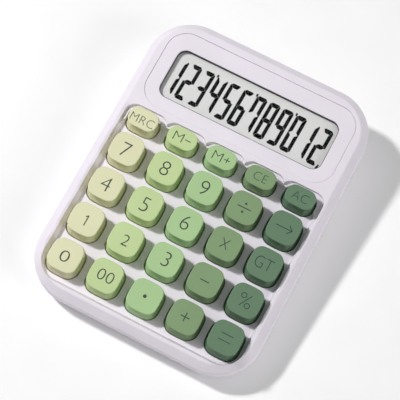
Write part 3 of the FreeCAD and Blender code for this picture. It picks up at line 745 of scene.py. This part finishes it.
def letters(bm, text, height, x=0, wide=1, thin=0.019):
    """Text of a given height with its middle on a spot, thinned by a share of the font's size."""
    words = bpy.data.curves.new("letters", "FONT")
    words.body = text
    words.offset = -thin
    writing = bpy.data.objects.new("letters", words)
    scene.collection.objects.link(writing)
    mesh = bpy.data.meshes.new_from_object(writing.evaluated_get(bpy.context.evaluated_depsgraph_get()))
    corners = [Vector(min(values) for values in zip(*(point.co for point in mesh.vertices))),
               Vector(max(values) for values in zip(*(point.co for point in mesh.vertices)))]
    size = height / (corners[1].y - corners[0].y)
    middle = (corners[0] + corners[1]) / 2
    stretch = Matrix.Diagonal((size * wide, size, size, 1))
    mesh.transform(Matrix.Translation((x, 0, 0)) @ stretch @ Matrix.Translation(-middle))
    bm.from_mesh(mesh)
    bpy.data.objects.remove(writing)
    bpy.data.curves.remove(words)
    bpy.data.meshes.remove(mesh)


def thicken(bm, depth):
    """Give flat strokes a thickness."""
    bmesh.ops.recalc_face_normals(bm, faces=bm.faces[:])
    raised = bmesh.ops.extrude_face_region(bm, geom=bm.faces[:], use_keep_orig=True)["geom"]
    bmesh.ops.translate(bm, verts=[part for part in raised if isinstance(part, bmesh.types.BMVert)],
                        vec=(0, 0, depth))
    bmesh.ops.recalc_face_normals(bm, faces=bm.faces[:])


trial = bmesh.new()
ring(trial, 4, 6, 0.5)
thicken(trial, film)
print("trial ring", len(trial.faces), "faces, thickness", film, "mm")
trial.free()

# %% [markdown]
# The signs of arithmetic are only strokes: a bar, a cross of three bars, dots above and below, two rings and
# a slanting bar, and an arrow. The figure one is drawn too, because in this style it has a flag.

# %% Signs
thin_stroke, fine_stroke = 0.55, 0.44


def plus_sign(bm, size, x=0, stroke=thin_stroke):
    bar(bm, size, stroke, x)
    for side in sides:
        bar(bm, stroke, (size - stroke) / 2, x, side * (size + stroke) / 4)


def minus_sign(bm, size, x=0, stroke=thin_stroke):
    bar(bm, size, stroke, x)


def divide_sign(bm):
    width, dot_size, dot_rise = 7, 1.2, 2.2
    bar(bm, width, thin_stroke)
    for side in sides:
        dot(bm, dot_size, y=side * dot_rise)


def times_sign(bm):
    length, lean = 6.2, radians(55)
    for side in sides:
        bar(bm, length, fine_stroke, turn=side * lean)


def equals_sign(bm):
    width, rise = 6.2, 1.65
    for side in sides:
        bar(bm, width, fine_stroke, y=side * rise)


def percent_sign(bm):
    ring_size, ring_aside, ring_rise = 2.9, 1.7, 2.1
    length, lean = 7.6, radians(60)
    for side in sides:
        ring(bm, ring_size, ring_size, fine_stroke, side * ring_aside, -side * ring_rise)
    bar(bm, length, fine_stroke, turn=lean)


def arrow_sign(bm):
    length, head_length, head_x, head_y, head_lean = 8.4, 3.1, 3.2, 1, radians(-45)
    bar(bm, length, fine_stroke)
    for side in sides:
        bar(bm, head_length, fine_stroke, head_x, side * head_y, side * head_lean)


def one_figure(bm, height):
    """The figure one with its flag."""
    stem_x, flag_length, flag_x, flag_drop, flag_lean = 0.3, 1.5, -0.25, 0.7, radians(35)
    bar(bm, thin_stroke, height, stem_x)
    bar(bm, flag_length, thin_stroke, flag_x, height / 2 - flag_drop, flag_lean)


signs = {"divide": divide_sign, "times": times_sign, "equals": equals_sign, "percent": percent_sign,
         "shift": arrow_sign}
print("signs", sorted(signs))

# %% [markdown]
# Numbers are large and words small, and the two memory keys carry a letter and a sign side by side. The ink
# is dark grey on the pale columns, and a deep green and a deep teal on the two dark ones. Some legends stand
# a little off the middle of their key, as printing leaves them, and the noughts are wider than the font's.

# %% Print the legends
tall_figure, tall_thinning = 7.3, 0.017
small_figure, small_thinning = 5.6, 0.013
word_height, total_height, total_width = 4.3, 6, 0.8
pair_height, pair_letter_x, pair_letter_width = 4.6, -1.9, 1.14
pair_sign, pair_sign_x, lone_sign, point_size = 3, 3.2, 4.6, 1.8
nought_width = {"0": 1.35, "00": 1.08}
printed_off = {"mrc": (0, -0.8), "7": (0, -0.6), "5": (0, -0.5), "6": (0, 0.5), "gt": (-0.5, 0),
               "1": (0.2, -0.5), "2": (0.4, -0.4), "3": (0.5, 0.4), "minus": (0, -0.5), "0": (0, -0.5),
               "00": (0.5, 0)}
inks = [moulded("ink_grey", paint(42, 47, 38))] * 3
inks += [moulded("ink_green", paint(36, 58, 45)), moulded("ink_teal", paint(20, 48, 44))]


def legend(name):
    bm = bmesh.new()
    if name in signs:
        signs[name](bm)
    elif name in ("plus", "minus"):
        (plus_sign if name == "plus" else minus_sign)(bm, lone_sign)
    elif name == "point":
        dot(bm, point_size)
    elif name.startswith("m_"):
        letters(bm, "M", pair_height, pair_letter_x, pair_letter_width)
        (plus_sign if name == "m_plus" else minus_sign)(bm, pair_sign, pair_sign_x, fine_stroke)
    elif name == "1":
        one_figure(bm, small_figure)
    elif name.isdigit():
        small = name in ("0", "00", "2")
        height, thinning = (small_figure, small_thinning) if small else (tall_figure, tall_thinning)
        letters(bm, name, height, wide=nought_width.get(name, 1), thin=thinning)
    elif name == "gt":
        letters(bm, "GT", total_height, wide=total_width)
    else:
        letters(bm, name.upper(), word_height)
    thicken(bm, film)
    return bm


for index, (name, (slim, x, y)) in enumerate(zip(key_names, key_spots)):
    bm = legend(name)
    aside, ahead = printed_off.get(name, (0, 0))
    bmesh.ops.translate(bm, verts=bm.verts, vec=(x + top_aside + aside, y + ahead, key_rise - film / 3))
    finished(bm, "legend_" + name, "key_" + name, inks[index % len(column_x)])
print("legends", len(key_names))

# %% [markdown]
# A digit of the display has seven bars, and its number lights some of them. On a real glass each bar is an
# etched electrode with mitred ends, and the digits lean a little. Here a bar is a plain rectangle whose
# corners are clipped by slanting cuts, and three functions make the flat, the upright and the middle bars.

# %% Bars of a digit
digit_width, digit_height, digit_stroke, digit_gap, digit_lean = 5.75, 20.3, 1.85, 0.05, 0.55
flat_stroke, corner_cut, seam_run, middle_cut = 2.4, 1.1, 0.57, 1.2
digit_bars = {"0": "abcdef", "1": "bc", "2": "abdeg", "3": "abcdg", "4": "bcfg", "5": "acdfg", "6": "acdefg",
              "7": "abcf", "8": "abcdefg", "9": "abcdfg"}


def strip(bm, low, high, cuts):
    """Rectangle from one corner to the other. A cut (side x, side y, across, along) clips one corner."""
    middle = [(a + b) / 2 for a, b in zip(low, high)]
    size = [b - a for a, b in zip(low, high)]
    place = Matrix.Translation((*middle, 0)) @ Matrix.Diagonal((*size, 1, 1))
    points = bmesh.ops.create_grid(bm, x_segments=1, y_segments=1, size=0.5, matrix=place)["verts"]
    face = points[0].link_faces[0]
    parts = points + face.edges[:] + [face]
    for side_x, side_y, across, along in cuts:
        corner = Vector((high[0] if side_x > 0 else low[0], high[1] if side_y > 0 else low[1], 0))
        start = corner - Vector((side_x * across, 0, 0))
        parts = bmesh.ops.bisect_plane(bm, geom=parts, plane_co=start, clear_outer=True,
                                       plane_no=(side_x * along, side_y * across, 0))["geom"]


def flat_bar(bm, top):
    """The bar at the top or at the bottom of a digit."""
    side = 1 if top else -1
    outer = digit_height / 2
    inner = outer - flat_stroke
    half = (digit_width - corner_cut) / 2 - digit_gap
    seam = flat_stroke - corner_cut / 2
    cuts = [(x, side, corner_cut / 2, corner_cut / 2) for x in sides]
    cuts += [(x, -side, seam * seam_run, seam) for x in sides]
    heights = sorted((side * inner, side * outer))
    strip(bm, (-half, heights[0]), (half, heights[1]), cuts)


def upright_bar(bm, side, top):
    """One of the four upright bars."""
    up = 1 if top else -1
    columns = sorted((side * digit_width / 2, side * (digit_width / 2 - digit_stroke)))
    heights = sorted((up * digit_gap, up * (digit_height / 2 - corner_cut / 2 - digit_gap)))
    seam = digit_stroke - corner_cut / 2
    cuts = [(side, up, corner_cut / 2, corner_cut / 2), (-side, up, seam, seam / seam_run),
            (-side, -up, middle_cut, middle_cut)]
    strip(bm, (columns[0], heights[0]), (columns[1], heights[1]), cuts)


def middle_bar(bm):
    half = digit_width / 2 - digit_stroke + middle_cut - digit_gap
    cuts = [(x, y, flat_stroke / 2, flat_stroke / 2) for x in sides for y in sides]
    strip(bm, (-half, -flat_stroke / 2), (half, flat_stroke / 2), cuts)


bar_makers = {"a": lambda bm: flat_bar(bm, True), "d": lambda bm: flat_bar(bm, False), "g": middle_bar,
              "b": lambda bm: upright_bar(bm, 1, True), "c": lambda bm: upright_bar(bm, 1, False),
              "f": lambda bm: upright_bar(bm, -1, True), "e": lambda bm: upright_bar(bm, -1, False)}
print("bars", sorted(bar_makers), "in a digit of", digit_width, "by", digit_height, "mm")

# %% [markdown]
# The display is full: twelve digits in a row, with a small tick after every third place and a comma at the
# end. Each digit is built upright and then sheared, which is how such digits lean.

# %% Fill the display
shown_number = "123456789012"
digit_pitch, first_right, digits_y = 7.27, -37.7, 47.18
tick_places, tick_aside, tick_width, tick_y = (2, 5, 8), 1.45, 0.95, (56.3, 57.8)
comma_width, comma_x, comma_y, comma_lean = 1.0, 42.7, (36.0, 38.6), radians(-12)


def display_digits():
    bm = bmesh.new()
    lean = Matrix.Identity(4)
    lean[0][1] = digit_lean / digit_height
    for index, digit in enumerate(shown_number):
        before = set(bm.verts)
        for letter in digit_bars[digit]:
            bar_makers[letter](bm)
        spot = Matrix.Translation((first_right + digit_pitch * index - digit_width / 2, digits_y, 0))
        bmesh.ops.transform(bm, matrix=spot @ lean, verts=[v for v in bm.verts if v not in before])
        if index in tick_places:
            x = first_right + digit_pitch * index + tick_aside
            bar(bm, tick_width, tick_y[1] - tick_y[0], x, sum(tick_y) / 2)
    bar(bm, comma_width, comma_y[1] - comma_y[0], comma_x, sum(comma_y) / 2, comma_lean)
    thicken(bm, film)
    bmesh.ops.translate(bm, verts=bm.verts, vec=(0, 0, glass_top))
    return bm


def digit_black():
    material, nodes, links, shader = new_material("digit_black")
    links.new(ramp(nodes, links, noise(nodes, links, 200), [(0.3, paint(3, 3, 4)), (0.7, paint(8, 8, 9))]),
              shader.inputs["Base Color"])
    shader.inputs["Roughness"].default_value = 0.8
    shader.inputs["Specular IOR Level"].default_value = 0
    return material


finished(display_digits(), "display_digits", "case", digit_black())
print("digits", shown_number)

# %% [markdown]
# Behind the lens lies the display glass: a pale grey mirror film behind two sheets of glass. It is made as
# one slab with the look of the film. The lens over it is clear, and a hair of air keeps its face off the
# glass. In the shader the lens lets the light straight through, a little dimmed, and adds the reflection of
# a polished surface, which grows towards grazing views.

# %% Display glass and lens
lens_gap = 0.08


def display_film():
    material, nodes, links, shader = new_material("display_film")
    haze = noise(nodes, links, 30, 2)
    links.new(ramp(nodes, links, haze, [(0.3, paint(238, 238, 237)), (0.7, paint(243, 243, 242))]),
              shader.inputs["Base Color"])
    links.new(spread(nodes, links, noise(nodes, links, 400), 0.3, 0.4), shader.inputs["Roughness"])
    return material


def clear_lens():
    material, nodes, links, shader = new_material("clear_lens")
    nodes.remove(shader)
    through = nodes.new("ShaderNodeBsdfTransparent")
    through.inputs["Color"].default_value = (0.97, 0.97, 0.97, 1)
    gloss = nodes.new("ShaderNodeBsdfGlossy")
    links.new(spread(nodes, links, noise(nodes, links, 60), 0.02, 0.06), gloss.inputs["Roughness"])
    slant = nodes.new("ShaderNodeLayerWeight")
    slant.inputs["Blend"].default_value = 0.2
    blend = nodes.new("ShaderNodeMixShader")
    links.new(spread(nodes, links, slant.outputs["Facing"], 0, 0.4), blend.inputs["Fac"])
    links.new(through.outputs[0], blend.inputs[1])
    links.new(gloss.outputs[0], blend.inputs[2])
    links.new(blend.outputs[0], nodes["Material Output"].inputs["Surface"])
    return material


glass_levels = (glass_underside, glass_top)
glass = solid([(glass_width, glass_depth, glass_corner, z) for z in glass_levels], y=window_y)
finished(glass, "display_glass", "case", display_film(), ["lcd_panel"])
lens_levels = (glass_top + lens_gap, plate_underside)
lens = solid([(glass_width, glass_depth, glass_corner, z) for z in lens_levels], y=window_y)
finished(lens, "display_lens", "case", clear_lens(), ["display_window"])
print("lens", glass_width, "by", glass_depth, "mm")

# %% [markdown]
# Feet and screws are turned shapes, so they are made as a lathe makes them: half a profile is spun round an
# axis. A foot has a soft edge. A screw has a head with a cross cut into it and a shank with ridges for its
# thread, and the same function makes the large screws of the case and the small ones of the board.

# %% Turned shapes
def turned(profile, steps=40):
    """Spin a profile of (radius, height) round the upright axis. It starts and ends on the axis."""
    bm = bmesh.new()
    points = [bm.verts.new((radius, 0, z)) for radius, z in profile]
    edges = [bm.edges.new(pair) for pair in zip(points, points[1:])]
    bmesh.ops.spin(bm, geom=points + edges, axis=(0, 0, 1), angle=2 * pi, steps=steps, use_merge=True)
    bmesh.ops.remove_doubles(bm, verts=bm.verts, dist=0.001)
    bmesh.ops.recalc_face_normals(bm, faces=bm.faces[:])
    return bm


def rubber_foot(radius, height, edge):
    roll = [(radius + margin, height - z) for margin, z in soft_top(height, edge)]
    return turned([(0, 0)] + roll[::-1] + [(radius, height), (0, height)])


def screw(head_radius, head, radius, length, pitch=0.6):
    """Screw that points up from z = 0, with its head below and a cross cut into the head."""
    head_edge, root_share, slit_width, slit_length = 0.4, 0.85, 0.3, 1.1
    crown = [(head_radius + margin, -z) for margin, z in soft_top(head, head_edge)]
    profile = [(0, -head)] + crown[::-1] + [(head_radius, 0), (radius, 0)]
    for turn in range(int((length - 2 * radius) / pitch)):
        profile += [(radius * root_share, pitch * (turn + 0.5)), (radius, pitch * (turn + 1))]
    bm = turned(profile + [(radius, length - radius), (0, length)], steps=28)
    for across, along in ((slit_width, slit_length), (slit_length, slit_width)):
        size = Matrix.Diagonal((across * head_radius, along * head_radius, head, 1))
        slit = Matrix.Translation((0, 0, -head)) @ size
        knife = bmesh.new()
        bmesh.ops.create_cube(knife, size=1, matrix=slit)
        bm = carve(bm, knife)
    return bm


def repeated(bm, spots, z):
    """Copies of a shape on several spots, as one shape."""
    mesh = bpy.data.meshes.new("copies")
    bm.to_mesh(mesh)
    bm.clear()
    for x, y in spots:
        mesh.transform(Matrix.Translation((x, y, z)))
        bm.from_mesh(mesh)
        mesh.transform(Matrix.Translation((-x, -y, -z)))
    bpy.data.meshes.remove(mesh)
    return bm


trial = turned([(0, 0), (1, 0), (1, 2), (0, 2)])
print("trial pin", len(trial.verts), "points, volume", round(trial.calc_volume(), 3))
trial.free()

# %% [markdown]
# Rubber is dull and a little dusty. Plated steel is bright, with fine streaks left by turning and rolling,
# so its noise is stretched along one direction.

# %% Feet and screws
def dull_rubber(name, colour):
    material, nodes, links, shader = new_material(name)
    dust = noise(nodes, links, 700, 3)
    links.new(ramp(nodes, links, dust, [(0.35, colour), (0.75, shade(colour, 1.35))]),
              shader.inputs["Base Color"])
    links.new(spread(nodes, links, dust, 0.65, 0.85), shader.inputs["Roughness"])
    relief(nodes, links, shader, noise(nodes, links, 5000), 0.15)
    return material


def plated_steel(name, colour, stretch=(1, 12, 1)):
    material, nodes, links, shader = new_material(name)
    streaks = noise(nodes, links, 600, 4, stretch)
    links.new(ramp(nodes, links, streaks, [(0.3, shade(colour, 0.85)), (0.7, colour)]),
              shader.inputs["Base Color"])
    links.new(spread(nodes, links, streaks, 0.22, 0.4), shader.inputs["Roughness"])
    shader.inputs["Metallic"].default_value = 1
    return material


foot_radius, foot_height, foot_edge = 4.5, 2.1, 0.4
case_screw_seat, board_screw_seat = -12.9, -12.8
foot_rubber = dull_rubber("foot_rubber", paint(58, 57, 60))
steel = plated_steel("steel", paint(196, 197, 200), stretch=(1, 1, 10))
for end in ("front", "back"):
    for side in ("left", "right"):
        node = "foot_" + end + "_" + side
        low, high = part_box(node)
        middle = (low + high) / 2
        spot = Matrix.Translation((middle.x, middle.y, low.z)) @ Matrix.Scale(millimetre, 4)
        finished(rubber_foot(foot_radius, foot_height, foot_edge), "rubber_" + node, "case",
                 foot_rubber, [node], spot)
case_screw = screw(head_radius=2.5, head=1.8, radius=1.3, length=6.2)
board_screw = screw(head_radius=2.1, head=1.2, radius=1, length=6.8)
finished(repeated(case_screw, case_screw_spots, case_screw_seat), "case_screw_set", "case", steel,
         ["case_screws"])
finished(repeated(board_screw, board_screw_spots, board_screw_seat), "board_screw_set", "case",
         steel, ["board_screws"])
print("feet 4, screws", len(case_screw_spots) + len(board_screw_spots))

# %% [markdown]
# Under the keys lies one sheet of silicone rubber with a hollow dome below each key. When a key goes down
# its dome gives way, so each dome is a piece of its own. What is left of a dome at the end of the travel is
# a sixth of its height.

# %% Rubber keypad
sheet_width, sheet_margin, sheet_corner = 100, 7.2, 5.4
sheet_front, sheet_back = row_y[0] - sheet_margin, slim_row_y + sheet_margin
sheet_underside, sheet_top = board_top, -10.4
screw_hole, dome_hole = 2.8, 4
dome_height, dome_roof, dome_edge, dome_left = 3, 1.4, 0.5, 1 / 6
dome_foot, dome_mouth, dome_head, dome_wall = 5.4, 3.9, 3.4, 0.7
silicone = dull_rubber("keypad_rubber", paint(196, 200, 196))


def keypad_sheet():
    sheet_depth, sheet_y = sheet_back - sheet_front, (sheet_front + sheet_back) / 2
    levels = [(sheet_width, sheet_depth, sheet_corner, z) for z in (sheet_underside, sheet_top)]
    sheet = solid(levels, y=sheet_y)
    dome_spots = [(x, y) for slim, x, y in key_spots]
    holes = bmesh.new()
    for spots, radius in ((board_screw_spots, screw_hole), (dome_spots, dome_hole)):
        add_posts(holes, spots, radius, sheet_underside - overcut, sheet_top + overcut)
    return carve(sheet, holes)


def dome():
    """Hollow dome that stands on z = 0. Its profile runs down inside and up outside."""
    outside = [(dome_head + margin, z) for margin, z in soft_top(dome_height, dome_edge)]
    ceiling = dome_height - dome_roof
    inside = [(0, ceiling), (dome_head - dome_wall, ceiling), (dome_mouth, 0)]
    return turned(inside + [(dome_foot, 0)] + outside + [(0, dome_height)], steps=32)


finished(keypad_sheet(), "keypad_sheet", "case", silicone, ["rubber_keypad"])
for name, (slim, x, y) in zip(key_names, key_spots):
    piece = finished(repeated(dome(), [(x, y)], sheet_top), "dome_" + name, "case",
                     silicone)
    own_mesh(piece)
print("domes", len(key_spots))

# %% [markdown]
# The remaining solids need no new shape, only a finish. The lower half and the battery door are of the
# same plastic as the upper half. Inside are a dark tray, a printed film, a green board with pale tracks,
# a drop of black resin, a cell with a printed jacket, sprung contacts and two insulated leads.

# %% Finishes of the inside
def striped(name, ground, line, scale, roughness, direction="X", share=0.62):
    """Printed lines on a film or a board, over a slightly cloudy ground."""
    material, nodes, links, shader = new_material(name)
    place = nodes.new("ShaderNodeTexCoord")
    lines = nodes.new("ShaderNodeTexWave")
    lines.bands_direction = direction
    lines.inputs["Scale"].default_value = scale
    lines.inputs["Distortion"].default_value = 0.6
    links.new(place.outputs["Object"], lines.inputs["Vector"])
    cloud_stops = [(0.3, shade(ground, 0.92)), (0.7, shade(ground, 1.08))]
    cloudy = ramp(nodes, links, noise(nodes, links, 90, 3), cloud_stops)
    mix = nodes.new("ShaderNodeMix")
    mix.data_type = "RGBA"
    mix.inputs["B"].default_value = line
    where = nodes.new("ShaderNodeMath")
    where.operation = "GREATER_THAN"
    where.inputs[1].default_value = share
    links.new(lines.outputs["Fac"], where.inputs[0])
    links.new(where.outputs[0], mix.inputs["Factor"])
    links.new(cloudy, mix.inputs["A"])
    links.new(mix.outputs["Result"], shader.inputs["Base Color"])
    links.new(spread(nodes, links, noise(nodes, links, 500), roughness - 0.06, roughness + 0.06),
              shader.inputs["Roughness"])
    return material


def cell_jacket():
    """Bands along the cell: bright ends, a dark jacket and a pale ring."""
    material, nodes, links, shader = new_material("cell_jacket")
    low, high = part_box("battery")
    place = nodes.new("ShaderNodeTexCoord")
    parts = nodes.new("ShaderNodeSeparateXYZ")
    links.new(place.outputs["Object"], parts.inputs[0])
    along = nodes.new("ShaderNodeMapRange")
    along.inputs["From Min"].default_value = low.x
    along.inputs["From Max"].default_value = high.x
    links.new(parts.outputs["X"], along.inputs["Value"])
    bright, dark, pale = paint(198, 198, 200), paint(52, 66, 60), paint(206, 214, 190)
    bands = [(0, bright), (0.03, dark), (0.68, pale), (0.74, dark), (0.94, bright)]
    links.new(ramp(nodes, links, along.outputs[0], bands, hard=True), shader.inputs["Base Color"])
    links.new(spread(nodes, links, noise(nodes, links, 300), 0.25, 0.35), shader.inputs["Roughness"])
    return material


spring_steel = plated_steel("spring_steel", paint(204, 201, 192))
node_finishes = {
    "lower_case": case_plastic, "battery_door": case_plastic,
    "lcd_frame": moulded("frame_plastic", paint(74, 76, 80), roughness=0.55),
    "lcd_ribbon": striped("ribbon", paint(188, 142, 74), paint(120, 84, 40), scale=300, roughness=0.4),
    "circuit_board": striped("board", paint(52, 108, 66), paint(84, 146, 92), scale=95, roughness=0.45,
                             direction="Y", share=0.8),
    "chip_cover": moulded("resin", paint(28, 28, 30), roughness=0.2, grain=400, rough_grain=0.02),
    "battery": cell_jacket(),
    "battery_contact_positive": spring_steel, "battery_contact_negative": spring_steel,
    "battery_lead_positive": moulded("lead_red", paint(178, 40, 36), roughness=0.45),
    "battery_lead_negative": moulded("lead_black", paint(40, 40, 42), roughness=0.45)}
for node, material in node_finishes.items():
    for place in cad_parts[node].material_slots:
        place.material = material
print("finished solids", len(node_finishes))
